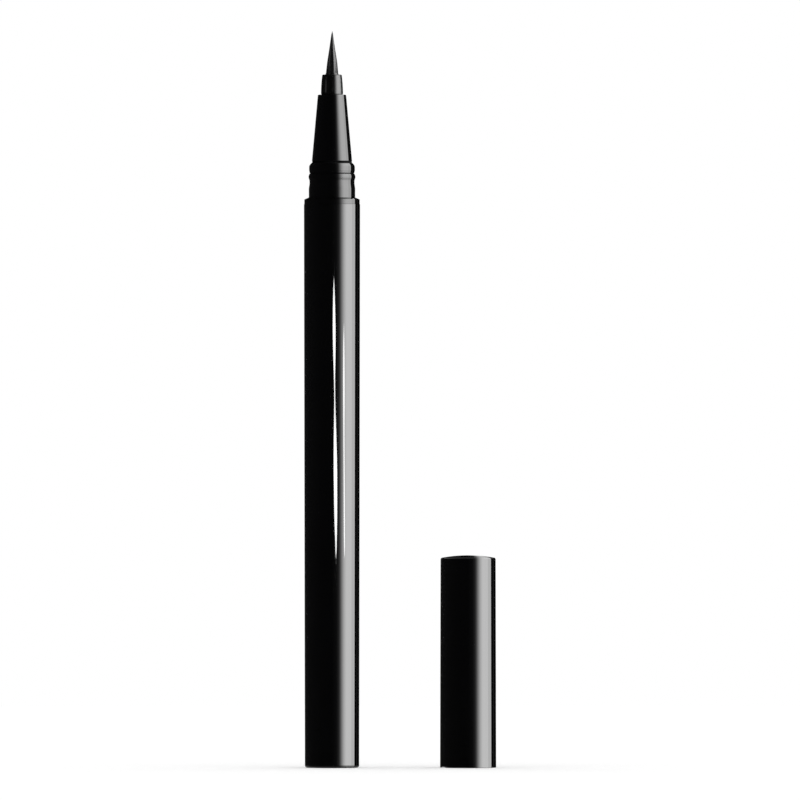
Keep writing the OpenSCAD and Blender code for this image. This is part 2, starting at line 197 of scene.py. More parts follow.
def math_of(tree, operation, a, b=None, clamp=False):
    node = tree.nodes.new("ShaderNodeMath")
    node.operation = operation
    node.use_clamp = clamp
    for socket, value in zip(node.inputs, (a, b)):
        if value is None:
            continue
        if isinstance(value, (int, float)):
            socket.default_value = value
        else:
            tree.links.new(value, socket)
    return node.outputs[0]


def times(tree, first, *others):
    for other in others:
        first = math_of(tree, "MULTIPLY", first, other)
    return first


def plus(tree, first, *others):
    for other in others:
        first = math_of(tree, "ADD", first, other)
    return first


def map_of(tree, value, low, high, to_low, to_high, smooth=True):
    """The value from low to high, taken to the range from to_low to to_high."""
    node = tree.nodes.new("ShaderNodeMapRange")
    node.interpolation_type = "SMOOTHSTEP" if smooth else "LINEAR"
    tree.links.new(value, node.inputs["Value"])
    node.inputs["From Min"].default_value = low
    node.inputs["From Max"].default_value = high
    node.inputs["To Min"].default_value = to_low
    node.inputs["To Max"].default_value = to_high
    return node.outputs["Result"]


# A noise: its cells to the metre along X, Y and Z, its detail, its roughness and its seed
Noise = namedtuple("Noise", "cells detail roughness seed", defaults=(0.0,))


def noise_of(tree, noise):
    """The noise's value from 0 to 1 over the object's own coordinates."""
    coords = tree.nodes.new("ShaderNodeTexCoord")
    mapping = tree.nodes.new("ShaderNodeMapping")
    mapping.inputs["Scale"].default_value = noise.cells
    tree.links.new(coords.outputs["Object"], mapping.inputs["Vector"])
    node = tree.nodes.new("ShaderNodeTexNoise")
    node.noise_dimensions = "4D"
    node.inputs["W"].default_value = noise.seed
    node.inputs["Scale"].default_value = 1.0
    node.inputs["Detail"].default_value = noise.detail
    node.inputs["Roughness"].default_value = noise.roughness
    tree.links.new(mapping.outputs["Vector"], node.inputs["Vector"])
    return node.outputs["Fac"]


def bump(tree, height, distance, normal):
    """A normal for a height from 0 to 1 over a distance in metres, on top of another normal."""
    node = tree.nodes.new("ShaderNodeBump")
    node.inputs["Strength"].default_value = 1.0
    node.inputs["Distance"].default_value = distance
    tree.links.new(height, node.inputs["Height"])
    if normal is not None:
        tree.links.new(normal, node.inputs["Normal"])
    return node.outputs["Normal"]


def tint(tree, factor, dark, light):
    """A colour between two, by a factor from 0 to 1."""
    node = tree.nodes.new("ShaderNodeMix")
    node.data_type = "RGBA"
    tree.links.new(factor, node.inputs["Factor"])
    node.inputs["A"].default_value = (*dark, 1.0)
    node.inputs["B"].default_value = (*light, 1.0)
    return node.outputs["Result"]


# The span that most of a noise's values lie in
MOST = (0.3, 0.7)


def surface(name, rough, tone, relief, specular=0.5, extra=None):
    """A procedural material. rough holds a noise, the span of it that counts and the roughness over
    that span. tone holds a noise and the colours that it runs between. relief lists noises with
    their heights in metres. What is the same all over is set on the shader's own sockets."""
    material, tree, shader = new_material(name)
    made = {}

    def value_of(noise):
        if noise not in made:
            made[noise] = noise_of(tree, noise)
        return made[noise]

    noise, span, roughness = rough
    tree.links.new(map_of(tree, value_of(noise), *span, *roughness), shader.inputs["Roughness"])
    noise, dark, light = tone
    tree.links.new(tint(tree, value_of(noise), dark, light), shader.inputs["Base Color"])
    normal = None
    for noise, height in relief:
        normal = bump(tree, value_of(noise), height, normal)
    tree.links.new(normal, shader.inputs["Normal"])
    shader.inputs["Specular IOR Level"].default_value = specular
    for socket, value in (extra or {}).items():
        shader.inputs[socket].default_value = value
    return material


def gloss_plastic(name, specular, seed):
    """Jet-black moulded plastic: faint long waves from the mould, orange peel and handling haze."""
    haze = Noise((260, 260, 90), 4.0, 0.6, seed)
    waves = Noise((160, 160, 25), 1.0, 0.4, seed + 1)
    peel = Noise((1600, 1600, 1600), 1.0, 0.4, seed + 2)
    return surface(name, rough=(haze, (0.35, 0.75), (0.03, 0.065)),
                   tone=(haze, (0.0011, 0.0011, 0.0012), (0.0016, 0.0016, 0.0018)),
                   relief=((waves, 6e-6), (peel, 4e-7)), specular=specular, extra={"IOR": 1.5})


def seam_shade_material():
    """The blunt line where the cone meets its bead: a rough band that barely reflects, painted
    shade for the dark line there.
    """
    grain = Noise((5000, 5000, 5000), 3.0, 0.6)
    return surface("black_gloss_seam_shade", rough=(grain, MOST, (0.5, 0.65)),
                   tone=(grain, (0.0011, 0.0011, 0.0012), (0.0018, 0.0018, 0.002)),
                   relief=((grain, 4e-6),), specular=0.03)


def satin_plastic(name, roughness, specular):
    """The ferrule's spark-eroded satin finish. Its duller copy is painted shade on the ferrule's
    front edge and where it leaves the cone.
    """
    grain = Noise((7000, 7000, 7000), 2.0, 0.6)
    return surface(name, rough=(grain, MOST, roughness),
                   tone=(grain, (0.0014, 0.0014, 0.0015), (0.003, 0.003, 0.0031)),
                   relief=((grain, 3e-6),), specular=specular)


def matte_plastic():
    """The inner cap's and the collector's matte moulding."""
    grain = Noise((4000, 4000, 4000), 3.0, 0.6)
    flow = Noise((300, 300, 60), 2.0, 0.5, 4.0)
    return surface("black_matte", rough=(grain, MOST, (0.42, 0.55)),
                   tone=(flow, (0.014, 0.014, 0.014), (0.024, 0.024, 0.025)),
                   relief=((grain, 4e-6),), specular=0.4)


def natural_plastic():
    """Milky unpigmented plastic, with the cloudiness of its flow."""
    cloud = Noise((220, 220, 45), 4.0, 0.6)
    grain = Noise((2500, 2500, 600), 2.0, 0.5, 2.0)
    return surface("natural_plastic", rough=(grain, MOST, (0.28, 0.42)),
                   tone=(cloud, (0.70, 0.70, 0.66), (0.82, 0.82, 0.79)), relief=((grain, 2e-6),),
                   extra={"Subsurface Weight": 0.25, "Subsurface Radius": (1.0, 0.95, 0.85),
                          "Subsurface Scale": 0.0006})


def steel():
    """Polished steel with fine drawing lines along the axis."""
    lines = Noise((14000, 14000, 900), 2.0, 0.5)
    patches = Noise((700, 700, 700), 3.0, 0.5, 3.0)
    return surface("steel", rough=(lines, MOST, (0.12, 0.24)),
                   tone=(patches, (0.52, 0.52, 0.54), (0.64, 0.64, 0.66)),
                   relief=((lines, 8e-7),), extra={"Metallic": 1.0})


def bonded_fibre():
    """The relay core: fine fibres bonded lengthwise."""
    strands = Noise((16000, 16000, 350), 4.0, 0.7)
    return surface("fibre", rough=(strands, MOST, (0.75, 0.95)),
                   tone=(strands, (0.62, 0.59, 0.52), (0.86, 0.83, 0.76)),
                   relief=((strands, 2e-5),), specular=0.2)


def brush_fibre():
    """Ink-black nylon: each fibre a little lighter or darker, with ink drying on it in places."""
    fibres = Noise((9000, 9000, 60), 3.0, 0.6)
    ink = Noise((1500, 1500, 300), 3.0, 0.6, 5.0)
    return surface("brush_fibre", rough=(ink, (0.35, 0.7), (0.15, 0.25)),
                   tone=(fibres, (0.0012, 0.0012, 0.0013), (0.008, 0.008, 0.0084)),
                   relief=((fibres, 3e-6),), specular=0.28)


GLOSS = gloss_plastic("black_gloss", 0.5, 0.0)
NOSE_GLOSS = gloss_plastic("black_gloss_nose", 0.37, 7.0)
# A less reflecting copy of the gloss on the tail plug: painted shade that keeps its rounded foot
# dark
TAIL_GLOSS_SHADED = gloss_plastic("black_gloss_tail_shaded", 0.25, 14.0)
# A rough, barely reflecting band at the cone's foot: painted shade for the dark line there
SEAM_SHADE = seam_shade_material()
SATIN = satin_plastic("black_satin", (0.16, 0.26), 0.38)
# A less reflecting copy of the satin: painted shade on the ferrule's front edge and where it meets
# the cone
SATIN_EDGE_SHADE = satin_plastic("black_satin_edge_shade", (0.3, 0.42), 0.14)
MATTE = matte_plastic()
NATURAL = natural_plastic()
STEEL = steel()
FIBRE = bonded_fibre()
BRUSH = brush_fibre()


def span_of(node):
    """A node's lowest and highest heights and its radius, in millimetres."""
    low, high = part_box(node)
    return low.z / MM, high.z / MM, (high.x - low.x) / 2 / MM


BARREL_FOOT, BARREL_TOP, BARREL_R = span_of("barrel")
TAIL_FOOT, TAIL_TOP, TAIL_R = span_of("tail_plug")
SKIRT_FOOT, CONE_TOP, _ = span_of("nose")
FERRULE_FOOT, FERRULE_TOP, FERRULE_FLANGE_R = span_of("tip_ferrule")
SLICE_FOOT, TIP_TOP, BRUSH_R = span_of("brush_bristles")
CAP_FOOT, CAP_TOP, CAP_R = span_of("cap_shell")
LIP_Z, INNER_TOP, INNER_RING_R = span_of("inner_cap")
CAP_X = (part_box("cap_shell")[0].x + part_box("cap_shell")[1].x) / 2 / MM

# Corner rounds that come back on several pieces, from the sharpest to the softest
FINE_EDGE = 0.03
EDGE = 0.05
SOFT_EDGE = 0.08

BARREL_WALL = 0.85
BARREL_BORE_R = BARREL_R - BARREL_WALL
RIB_RISE = 0.15
RIB_H = 0.6
RIB_SHARES = (0.25, 0.6)
PLUG_WALL = 0.9
PLUG_FLOOR = 1.2
PLUG_MOUTH_ROUND = 0.1
PLUG_FLOOR_ROUND = 0.2
TAIL_ROUND = 0.35


def barrel():
    outline = [
        (BARREL_BORE_R, BARREL_FOOT, EDGE),
        (TAIL_R, BARREL_FOOT),
        (BARREL_R, BARREL_TOP, SOFT_EDGE),
        (BARREL_BORE_R, BARREL_TOP, EDGE),
    ]
    finish_piece(turned("pen_barrel", outline, GLOSS), "pen", "black_gloss", "barrel")


def tail_plug():
    body = BARREL_BORE_R - RIB_RISE
    hollow = body - PLUG_WALL
    outline = [
        (0, TAIL_FOOT),
        (TAIL_R, TAIL_FOOT, TAIL_ROUND),
        (TAIL_R, BARREL_FOOT, FINE_EDGE),
        (body, BARREL_FOOT),
    ]
    for share in RIB_SHARES:
        rib_z = BARREL_FOOT + (TAIL_TOP - BARREL_FOOT) * share
        outline += [
            (body, rib_z),
            (BARREL_BORE_R, rib_z + RIB_RISE, EDGE),
            (BARREL_BORE_R, rib_z + RIB_H, EDGE),
            (body, rib_z + RIB_H + RIB_RISE),
        ]
    outline += [
        (body, TAIL_TOP - RIB_RISE, EDGE),
        (body - RIB_RISE, TAIL_TOP, EDGE),
        (hollow, TAIL_TOP, PLUG_MOUTH_ROUND),
        (hollow, BARREL_FOOT + PLUG_FLOOR, PLUG_FLOOR_ROUND),
        (0, BARREL_FOOT + PLUG_FLOOR),
    ]
    finish_piece(turned("pen_tail_plug", outline, TAIL_GLOSS_SHADED), "pen", "black_gloss", "tail_plug")


# The nose's outside, from the barrel up
FLANGE_R = 4.98
FLANGE_H = 0.85
SHOULDER_H = 0.35
COLLAR_R = 4.17
COLLAR_H = 1.65
COLLAR_FOOT_ROUND = 0.06
NECK_ROUND = 0.5
GROOVE_R = 4.045
GROOVE_SLOPE_H = 0.8
GROOVE_H = 0.6
RING_CREST_R = 4.215
RING_H = 1.3
RING_FOOT_H = 0.1
RING_STEPS = 24
NECK_GAP_H = 0.2
BEAD_R = 4.115
BEAD_H = 0.9
BEAD_FLANK_H = 0.35
BEAD_FLANK_STEPS = 10
BEAD_ROUND = 0.75
BEAD_TURN = 52
BEAD_STEPS = 14
CONE_FOOT_INSET = 0.5
CONE_FOOT_RISE = 1.05
FOOT_GROOVE = 0.1
FOOT_GROOVE_ROUND = 0.02
CONE_TIP_R = 2.54
CONE_EDGE = 0.22

FLANGE_TOP = BARREL_TOP + FLANGE_H
COLLAR_Z = FLANGE_TOP + SHOULDER_H
COLLAR_TOP = COLLAR_Z + COLLAR_H
GROOVE_Z = COLLAR_TOP + GROOVE_SLOPE_H
RING_Z = GROOVE_Z + GROOVE_H
BEAD_Z = RING_Z + RING_H + NECK_GAP_H
BEAD_TOP = BEAD_Z + BEAD_H
CONE_FOOT_R = BEAD_R - CONE_FOOT_INSET
CONE_FOOT = BEAD_TOP + CONE_FOOT_RISE

# The fine crease round the snap ring, and the band of the cone's foot that is made dull as painted
# shade
CREASE_Z = 106.92
CREASE_HALF = 0.08
CREASE_DEPTH = 0.14
CREASE_ROUND = 0.01
SHADE_BAND_BELOW = 0.4
SHADE_BAND_ABOVE = 0.07
SHADE_BAND_FOOT = CONE_FOOT - SHADE_BAND_BELOW
SHADE_BAND_TOP = CONE_FOOT + SHADE_BAND_ABOVE

# The nose's skirt and bores, from the skirt up
SKIRT_R = 3.4
SKIRT_BORE_R = 2.9
NECK_BORE_R = 2.795
NECK_BORE_STEP = 0.105
CONE_BORE_R = 2.36
FERRULE_HOLE_R = 2.01
FERRULE_SHANK = 5.6
FERRULE_SEAT = CONE_TOP - FERRULE_SHANK


def creased_ring():
    """The snap ring's outside, with its crease cut into the wave."""
    ring = swell(RING_Z - RING_FOOT_H, RING_Z + RING_H + RING_FOOT_H, GROOVE_R, RING_CREST_R, 1.0,
                 RING_STEPS)
    below = [p for p in ring if p[1] < CREASE_Z - CREASE_HALF]
    above = [p for p in ring if p[1] > CREASE_Z + CREASE_HALF]
    bottom_r = (below[-1][0] + above[0][0]) / 2 - CREASE_DEPTH
    return below + [(bottom_r, CREASE_Z, CREASE_ROUND)] + above


def shade_band_faces(obj, material, is_there):
    """The faces where is_there(height, radius) holds, in millimetres, get another material: a
    duller one, as painted shade.
    """
    obj.data.materials.append(material)
    for face in obj.data.polygons:
        if is_there(face.center.z / MM, face.center.xy.length / MM):
            face.material_index = 1


def nose():
    outline = [
        (SKIRT_BORE_R, SKIRT_FOOT, EDGE),
        (SKIRT_R - RIB_RISE, SKIRT_FOOT, EDGE),
        (SKIRT_R, SKIRT_FOOT + RIB_RISE, EDGE),
        (SKIRT_R, BARREL_TOP),
        (FLANGE_R, BARREL_TOP, EDGE),
        (FLANGE_R, FLANGE_TOP, SOFT_EDGE),
        (COLLAR_R, COLLAR_Z, COLLAR_FOOT_ROUND),
        (COLLAR_R, COLLAR_TOP, NECK_ROUND),
        (GROOVE_R, GROOVE_Z, NECK_ROUND),
    ]
    outline += creased_ring()
    outline += swell(BEAD_Z, BEAD_Z + BEAD_FLANK_H, GROOVE_R, BEAD_R, 0.5, BEAD_FLANK_STEPS)
    outline += arc((BEAD_R - BEAD_ROUND, BEAD_TOP), BEAD_ROUND, 0, BEAD_TURN, BEAD_STEPS)
    outline += [
        (CONE_FOOT_R - FOOT_GROOVE, CONE_FOOT - FOOT_GROOVE, FOOT_GROOVE_ROUND),
        (CONE_FOOT_R, CONE_FOOT, FINE_EDGE),
        (CONE_TIP_R, CONE_TOP, CONE_EDGE),
        (FERRULE_HOLE_R, CONE_TOP, FINE_EDGE),
        (FERRULE_HOLE_R, FERRULE_SEAT),
        (CONE_BORE_R, FERRULE_SEAT),
        (CONE_BORE_R, BEAD_TOP),
        (NECK_BORE_R, BEAD_TOP),
        (NECK_BORE_R, BARREL_TOP),
        (SKIRT_BORE_R, BARREL_TOP - NECK_BORE_STEP),
    ]
    obj = turned("pen_nose", outline, NOSE_GLOSS)
    # The band at the cone's foot gets the duller material as painted shade
    shade_band_faces(obj, SEAM_SHADE, lambda z, r: SHADE_BAND_FOOT < z < SHADE_BAND_TOP and r > CONE_TIP_R)
    finish_piece(obj, "pen", "black_gloss", "nose", mirrored=True)


FERRULE_R = 1.98
FERRULE_TIP_R = 1.75
FERRULE_SIDE_STEPS = 16
FERRULE_EDGE = 0.15
FERRULE_EDGE_FROM = 12
FERRULE_EDGE_STEPS = 8
FERRULE_RELIEF = 0.06
BRUSH_HOLE_R = 1.17
ROOT_HOLE_R = 1.59
ROOT_HOLE_H = 1.73
ROOT_TOP = FERRULE_FOOT + ROOT_HOLE_H


def ferrule_side():
    """The ferrule's outside, which narrows to its front along one arc from a fine relief at the
    cone's front face."""
    length = FERRULE_TOP - CONE_TOP
    drop = FERRULE_R - FERRULE_TIP_R
    radius = (length * length + drop * drop) / (2 * drop)
    end = math.degrees(math.asin((length - FERRULE_EDGE) / radius))
    relief_r = FERRULE_R - FERRULE_RELIEF
    relief = [(relief_r, CONE_TOP), (relief_r, CONE_TOP + FERRULE_RELIEF)]
    side = arc((FERRULE_R - radius, CONE_TOP), radius, 0, end, FERRULE_SIDE_STEPS)
    return relief + [p for p in side if p[1] > CONE_TOP + 2 * FERRULE_RELIEF]


def ferrule():
    outline = [
        (ROOT_HOLE_R, FERRULE_FOOT, FINE_EDGE),
        (FERRULE_FLANGE_R, FERRULE_FOOT, EDGE),
        (FERRULE_FLANGE_R, FERRULE_SEAT, EDGE),
        (FERRULE_R, FERRULE_SEAT),
        (FERRULE_R, CONE_TOP - FERRULE_RELIEF),
    ]
    outline += ferrule_side()
    edge = (FERRULE_TIP_R - FERRULE_EDGE, FERRULE_TOP - FERRULE_EDGE)
    outline += arc(edge, FERRULE_EDGE, FERRULE_EDGE_FROM, 90, FERRULE_EDGE_STEPS)
    outline += [
        (BRUSH_HOLE_R, FERRULE_TOP, EDGE),
        (BRUSH_HOLE_R, ROOT_TOP),
        (ROOT_HOLE_R, ROOT_TOP),
    ]
    obj = turned("pen_ferrule", outline, SATIN)
    edge_z = FERRULE_TOP - FERRULE_EDGE
    relief_top = CONE_TOP + 2 * FERRULE_RELIEF
    # The front edge and the band where the ferrule leaves the cone get the duller satin as painted
    # shade
    shade_band_faces(obj, SATIN_EDGE_SHADE, lambda z, r: z > edge_z or CONE_TOP < z < relief_top)
    finish_piece(obj, "pen", "black_satin", "tip_ferrule", mirrored=True)


# The brush: its radius at shares of its length, as shares of its radius at the root
BRUSH_OUTLINE = ((0.0, 1.0), (0.3, 0.77), (0.6, 0.42), (1.0, 0.0))
SLICE_H = 0.7
BRUSH_FOOT = SLICE_FOOT + SLICE_H
TIP_LEAN = 0.05

# The strands: layers of a share of the brush's radius and a count. Their angles are scattered by a
# share of their spacing, and the outer ones end sooner by shares of the brush's length.
STRAND_SEED = 11
STRAND_R = 0.036
STRAND_SIDES = 6
STRAND_RINGS = 14
STRAND_TAPER = 0.7
STRAND_LAYERS = ((0.99, 116), (0.94, 108), (0.86, 98), (0.72, 70), (0.55, 50), (0.35, 30),
                 (0.15, 12))
ANGLE_SCATTER = 0.3
OUTER_SHORT = 0.06
OUTER_SCATTER = 0.16
END_SCATTER = 0.02
SHARE_SCATTER = 0.02
SWAY = 0.06

# The clumps that ink draws the strands into, which swell from the brush's foot and fade to its tip
CLUMPS = 5
CLUMP_DEPTH = 0.035
CLUMP_MEAN = 1.02
CLUMP_START = 0.03
CLUMP_PACE = 1.2

# The film of ink between the strands, and its meniscus as radii and rises at the ferrule's front
FILM_SWELL = 0.07
FILM_SIDES = 140
MENISCUS = ((1.2, -0.02), (1.18, 0.03), (1.16, 0.12), (1.14, 0.2))
DISC_SIDES = 96
DISC_DOME = 0.05


def brush_share(t):
    """The brush's radius at share t of its length, on straight lines through the outline."""
    for (t0, s0), (t1, s1) in zip(BRUSH_OUTLINE, BRUSH_OUTLINE[1:]):
        if t <= t1:
            return s0 + (s1 - s0) * (t - t0) / (t1 - t0)
    return 0.0


def brush_z(t):
    return BRUSH_FOOT + (TIP_TOP - BRUSH_FOOT) * t


def clump(angle, t):
    """How far the wet fibres stand out in clumps, as a share of the brush's radius."""
    wave = math.cos(CLUMPS * angle)
    swelling = math.sin(math.pi * min(1, CLUMP_START + CLUMP_PACE * t))
    return 1 + (CLUMP_MEAN - 1 + CLUMP_DEPTH * wave) * swelling


def tube(verts, faces, path, sides, fluted=False):
    """Adds a closed tube to verts and faces. path holds (x, y, z, radius), the last of them its
    tip. A fluted tube follows the brush's clumps."""
    start = len(verts)
    for i, (x, y, z, radius) in enumerate(path[:-1]):
        for k in range(sides):
            angle = 2 * math.pi * k / sides
            r = radius * clump(angle, i / (len(path) - 1)) if fluted else radius
            verts.append((x + r * math.cos(angle), y + r * math.sin(angle), z))
    tip = len(verts)
    verts.append(path[-1][:3])
    faces.append([start + k for k in reversed(range(sides))])
    for ring in range(len(path) - 2):
        low = start + ring * sides
        for k in range(sides):
            n = (k + 1) % sides
            faces.append([low + k, low + n, low + sides + n, low + sides + k])
    high = start + (len(path) - 2) * sides
    for k in range(sides):
        faces.append([high + k, high + (k + 1) % sides, tip])


def strand_path(share, angle, end, sway):
    """One strand from its foot to its end, drawn in as the brush narrows."""
    path = []
    for i in range(STRAND_RINGS + 1):
        t = end * i / STRAND_RINGS
        reach = share * brush_share(t) * clump(angle, t) * BRUSH_R
        turn = angle + sway * t
        thick = STRAND_R * (1 - STRAND_TAPER * (i / STRAND_RINGS) ** 3)
        x = reach * math.cos(turn) + TIP_LEAN * t * t
        path.append((x, reach * math.sin(turn), brush_z(t), thick))
    return path


def brush():
    rng = random.Random(STRAND_SEED)
    verts = []
    faces = []
    for share, count in STRAND_LAYERS:
        for k in range(count):
            angle = 2 * math.pi * (k + ANGLE_SCATTER * rng.random()) / count
            short = share * share * (OUTER_SHORT + OUTER_SCATTER * rng.random())
            end = 1 - short - END_SCATTER * rng.random()
            inset = SHARE_SCATTER * rng.random()
            path = strand_path(share - inset, angle, end, SWAY * (rng.random() - 0.5))
            tube(verts, faces, path, STRAND_SIDES)
    film = []
    for i in range(STRAND_RINGS + 1):
        t = i / STRAND_RINGS
        film_r = BRUSH_R * brush_share(t) + FILM_SWELL * t
        film.append((TIP_LEAN * t * t, 0, brush_z(t), film_r))
    tube(verts, faces, film, FILM_SIDES, fluted=True)
    fused = [(0, 0, SLICE_FOOT, BRUSH_R), (0, 0, BRUSH_FOOT, BRUSH_R)]
    ink = [(0, 0, FERRULE_TOP + rise, r) for r, rise in MENISCUS]
    for disc in (fused, ink):
        tube(verts, faces, disc + [(0, 0, disc[-1][2] + DISC_DOME)], DISC_SIDES)
    obj = mesh_object("brush_tuft", verts, faces, BRUSH)
    finish_piece(obj, "pen", "brush_fibre", "brush_bristles", mirrored=True)


CAP_DRAFT = 0.09
CAP_END_R = CAP_R - CAP_DRAFT
CAP_BORE_R = 4.25
CAP_FLOOR_ROUND = 0.2
CAP_EDGE = 0.35
CAP_EDGE_STEPS = 12
CROWN_R = 26.0
CROWN_STEPS = 24
RIM_ROUND = 0.1
SNAP_R = 4.12
SNAP_Z = 2.83
SNAP_HALF = 0.3
SNAP_FLANK_ROUND = 0.1
SNAP_ROUND = 0.12


def cap():
    crown_end = CAP_END_R - CAP_EDGE
    crown_angle = math.degrees(math.asin(crown_end / CROWN_R))
    crown_z = CAP_TOP - CROWN_R
    edge_z = crown_z + CROWN_R * math.cos(math.radians(crown_angle)) - CAP_EDGE
    outline = [
        (0, INNER_TOP),
        (CAP_BORE_R, INNER_TOP, CAP_FLOOR_ROUND),
        (CAP_BORE_R, SNAP_Z + SNAP_HALF, SNAP_FLANK_ROUND),
        (SNAP_R, SNAP_Z, SNAP_ROUND),
        (CAP_BORE_R, SNAP_Z - SNAP_HALF, SNAP_FLANK_ROUND),
        (CAP_BORE_R, CAP_FOOT, RIM_ROUND),
        (CAP_R, CAP_FOOT, RIM_ROUND),
    ]
    outline += arc((crown_end, edge_z), CAP_EDGE, 0, 90 - crown_angle, CAP_EDGE_STEPS)
    outline += arc((0, crown_z), CROWN_R, 90 - crown_angle, 90, CROWN_STEPS)[1:-1]
    outline.append((0, CAP_TOP))
    finish_piece(turned("cap_outer", outline, GLOSS, CAP_X), "cap", "black_gloss", "cap_shell")


INNER_BORE_R = 3.28
INNER_R = 3.93
INNER_END = 1.0
INNER_FLOOR_ROUND = 0.4
INNER_LIP_ROUND = 0.12
INNER_RINGS = 4
INNER_RING_H = 0.8


def inner_cap():
    outline = [
        (0, INNER_TOP - INNER_END),
        (INNER_BORE_R, INNER_TOP - INNER_END, INNER_FLOOR_ROUND),
        (INNER_BORE_R, LIP_Z, INNER_LIP_ROUND),
    ]
    step = (INNER_TOP - LIP_Z - INNER_RING_H) / (INNER_RINGS - 1)
    for i in range(INNER_RINGS):
        low = LIP_Z + i * step
        if i:
            outline.append((INNER_R, low))
        outline += [(INNER_RING_R, low, EDGE), (INNER_RING_R, low + INNER_RING_H, EDGE)]
        if i < INNER_RINGS - 1:
            outline.append((INNER_R, low + INNER_RING_H))
    outline.append((0, INNER_TOP))
    finish_piece(turned("cap_inner", outline, MATTE, CAP_X), "cap", "black_matte", "inner_cap")


INNER_NODES = {
    "ink_tank": NATURAL,
    "tank_plug": NATURAL,
    "mixing_ball": STEEL,
    "collector": MATTE,
    "relay_core": FIBRE,
    "wick_guide": NATURAL,
    "feed_pipe": STEEL,
    "brush_root": BRUSH,
}


def dress_inner_nodes():
    for name, material in INNER_NODES.items():
        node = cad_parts[name]
        node.visible_glossy = False
        if not node.material_slots:
            node.data.materials.append(material)
        for slot in node.material_slots:
            slot.material = material


# The studio. Azimuths are in degrees from the camera's side towards the right. The softbox's sides
# and ends are stops of degrees and level. They are told by the surface that mirrors them into the
# camera: the sides by twice its turn to the right, which on an upright wall is the azimuth, and the
# ends by its upward tilt. So the softbox's reflection keeps its sides where a wall rounds off.
SOFTBOX_LEVEL = 12.9
SOFTBOX_SIDES = ((0, 0.0), (19, 0.004), (28, 0.021), (32, 0.055), (36, 0.125), (44.8, 0.42),
                 (49.3, 0.6), (53.7, 0.73), (62, 0.91), (70, 0.91), (90.5, 0.77), (91.5, 0.64),
                 (110.8, 0.47), (111.6, 0.0), (124, 0.0), (131, 0.006), (138, 0.0))
SOFTBOX_ENDS = ((-60, 0.02), (-40, 0.15), (-25, 0.4), (-15, 0.75), (-6, 1.0), (22, 1.0),
                (35, 0.8), (47, 0.6), (60, 0.4), (67, 0.27), (75, 0.1), (81, 0.073), (90, 0.06))
CROWN_SPREAD = 4.5
LEAST_RISE = 0.0001

# The faint fill, with its turns and its tilts from full to none, and the dark flags
FILL_LEVEL = 0.02
FILL_TURNS = (-100, -30)
FILL_TILTS = (45, 70)
DARK_LEVEL = 0.004


def ramp_of(tree, value, low, high, stops):
    """A ramp over values from low to high, whose stops are (value, level)."""
    node = tree.nodes.new("ShaderNodeValToRGB")
    elements = node.color_ramp.elements
    while len(elements) > 1:
        elements.remove(elements[-1])
    for i, (place, level) in enumerate(stops):
        share = (place - low) / (high - low)
        element = elements[0] if i == 0 else elements.new(share)
        element.position = share
        element.color = (level, level, level, 1.0)
    tree.links.new(map_of(tree, value, low, high, 0.0, 1.0, smooth=False), node.inputs["Fac"])
    return node.outputs["Color"]


def softbox_of(tree, x, y, z):
    """The softbox's level in a direction, with the turn and tilt of the surface that mirrors it.
    The turn fades out on surfaces that face up, so that the cap's crown shows no sides."""
    front = math_of(tree, "SUBTRACT", 1.0, y)
    flat = math_of(tree, "SQRT", plus(tree, times(tree, x, x), times(tree, front, front)))
    tilt = math_of(tree, "DEGREES", math_of(tree, "ARCTAN2", z, flat))
    steep = math_of(tree, "DIVIDE", flat, math_of(tree, "MAXIMUM", z, LEAST_RISE))
    spread = math_of(tree, "MULTIPLY", steep, CROWN_SPREAD, clamp=True)
    sine = times(tree, math_of(tree, "DIVIDE", x, flat), spread)
    turn = times(tree, math_of(tree, "DEGREES", math_of(tree, "ARCSINE", sine)), 2.0)
    sides = ramp_of(tree, turn, 0, 180, SOFTBOX_SIDES)
    ends = ramp_of(tree, tilt, -90, 90, SOFTBOX_ENDS)
    return times(tree, sides, ends, SOFTBOX_LEVEL), turn, tilt


def studio_world():
    """White for the camera and plain white light on every diffuse surface. Glossy rays see the
    studio: a softbox at the right, a faint fill at the left, and dark flags elsewhere, which keep
    the outlines dark against the white."""
    world = bpy.data.worlds.new("studio")
    bpy.context.scene.world = world
    world.use_nodes = True
    world.cycles.sampling_method = "NONE"
    tree = world.node_tree
    coords = tree.nodes.new("ShaderNodeTexCoord")
    split = tree.nodes.new("ShaderNodeSeparateXYZ")
    tree.links.new(coords.outputs["Generated"], split.inputs[0])
    softbox, turn, tilt = softbox_of(tree, *split.outputs)
    left = map_of(tree, turn, *FILL_TURNS, FILL_LEVEL, 0.0)
    fill = times(tree, left, map_of(tree, tilt, *FILL_TILTS, 1.0, 0.0))
    studio = plus(tree, softbox, fill, DARK_LEVEL)
    glossy = tree.nodes.new("ShaderNodeLightPath").outputs["Is Glossy Ray"]
    plain = math_of(tree, "SUBTRACT", 1.0, glossy)
    background = tree.nodes["Background"]
    background.inputs["Color"].default_value = (1.0, 1.0, 1.0, 1.0)
    tree.links.new(plus(tree, times(tree, glossy, studio), plain), background.inputs["Strength"])


# The floor: its radius in millimetres and its drop in metres. Glossy rays see a share of it, which
# fades over distances from the tail's centre and over lengths of the ray, in metres.
FLOOR_R = 600.0
FLOOR_STEPS = 96
FLOOR_DROP = 0.00002
FLOOR_COLOUR = 0.86
FLOOR_SHADE = 0.004
FLOOR_GRAIN = Noise((900, 900, 900), 3.0, 0.5)
FLOOR_GLOW = 0.17
FLOOR_NEAR = (0.006, 0.009)
FLOOR_SHORT = (0.007, 0.011)
FLOOR_SHARE = 0.5


